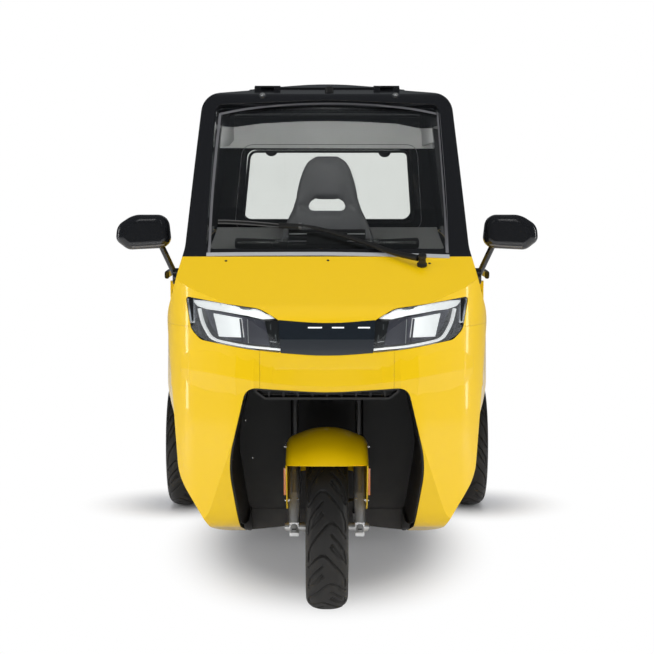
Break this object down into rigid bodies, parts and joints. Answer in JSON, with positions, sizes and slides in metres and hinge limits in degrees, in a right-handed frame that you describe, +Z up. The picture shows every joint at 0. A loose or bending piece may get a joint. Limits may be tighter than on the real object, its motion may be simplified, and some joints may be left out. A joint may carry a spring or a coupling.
{
  "type": "enclosed electric tricycle",
  "caption": "Enclosed electric tricycle with a hollow two-seat cabin, a steered front wheel, two driven rear wheels, side doors and a boot lid.",
  "frame": {"origin": "on the ground under the middle of the overall box", "axes": "-Y towards the front wheel, X across with the doors at each end, +Z up"},
  "size_m": [1.2378, 2.2213, 1.5301],
  "materials": {
    "tyre": "matte",
    "rim_alloy": "satin",
    "yellow_paint": "gloss",
    "black_gloss": "gloss",
    "black_plastic": "matte",
    "band_gloss": "gloss",
    "lamp_lens": "gloss",
    "amber_lens": "gloss",
    "dark_glass": "gloss",
    "red_lens": "gloss",
    "clear_glass": "gloss",
    "floor_paint": "satin",
    "frame_paint": "satin",
    "cast_housing": "satin",
    "fork_alloy": "satin",
    "steel_chrome": "polished",
    "seat_leather": "satin",
    "trim_grey": "matte"
  },
  "bodies": {
    "chassis": {"arch_liners": "black_plastic", "battery_box": "black_plastic", "centre_band": "band_gloss", "chassis_frame": "frame_paint", "dampers": "frame_paint", "dashboard": "black_plastic", "driver_seat": "seat_leather", "floor_pan": "floor_paint", "front_bumper": "yellow_paint", "front_fenders": "yellow_paint", "grille_lip": "black_plastic", "headlamps": "lamp_lens", "mirrors": "black_gloss", "nose_panel": "yellow_paint", "plate_carrier": "black_plastic", "rear_axle": "cast_housing", "rear_body": "yellow_paint", "rear_bumper": "black_plastic", "rear_partition": "trim_grey", "rear_seat": "seat_leather", "rear_window": "clear_glass", "roof_shell": "black_gloss", "seat_box": "black_plastic", "tail_lamps": "red_lens", "windscreen": "clear_glass", "wiper": "black_plastic"},
    "steering": {"fork_sliders": "fork_alloy", "steering_stem": "steel_chrome", "handlebar": "black_plastic", "mudguard": "yellow_paint", "front_reflectors": "amber_lens", "brake_caliper": "cast_housing"},
    "front_wheel": {"tyre_front": "tyre", "rim_front": "rim_alloy", "brake_disc": "steel_chrome"},
    "rear_wheel_left": {"tyre_rear_left": "tyre", "rim_rear_left": "rim_alloy"},
    "rear_wheel_right": {"tyre_rear_right": "tyre", "rim_rear_right": "rim_alloy"},
    "door_left": {"door_left": "yellow_paint", "door_glass_left": "clear_glass"},
    "door_right": {"door_right": "yellow_paint", "door_glass_right": "clear_glass"},
    "boot_lid": {"boot_lid": "yellow_paint"},
    "sunroof": {"sunroof": "dark_glass"}
  },
  "joints": [
    {"name": "steering_turn", "type": "hinge", "parent": "chassis", "child": "steering", "pos_m": [0, -0.83628, 0.22171], "axis": [0, 0.4226, 0.9063], "range_deg": [-35, 35]},
    {"name": "front_wheel_roll", "type": "hinge", "parent": "steering", "child": "front_wheel", "pos_m": [0, -0.868, 0.2365], "axis": [1, 0, 0], "continuous": true},
    {"name": "rear_wheel_left_roll", "type": "hinge", "parent": "chassis", "child": "rear_wheel_left", "pos_m": [-0.53, 0.69, 0.2365], "axis": [1, 0, 0], "continuous": true},
    {"name": "rear_wheel_right_roll", "type": "hinge", "parent": "chassis", "child": "rear_wheel_right", "pos_m": [0.53, 0.69, 0.2365], "axis": [1, 0, 0], "continuous": true},
    {"name": "door_left_swing", "type": "hinge", "parent": "chassis", "child": "door_left", "pos_m": [-0.468, -0.579, 0.7], "axis": [0, 0, 1], "range_deg": [0, 65]},
    {"name": "door_right_swing", "type": "hinge", "parent": "chassis", "child": "door_right", "pos_m": [0.468, -0.579, 0.7], "axis": [0, 0, -1], "range_deg": [0, 65]},
    {"name": "boot_lid_swing", "type": "hinge", "parent": "chassis", "child": "boot_lid", "pos_m": [0, 0.818, 1.029], "axis": [1, 0, 0], "range_deg": [0, 60]},
    {"name": "sunroof_tilt", "type": "hinge", "parent": "chassis", "child": "sunroof", "pos_m": [0, -0.336, 1.51643], "axis": [1, 0, 0], "range_deg": [0, 12]}
  ]
}
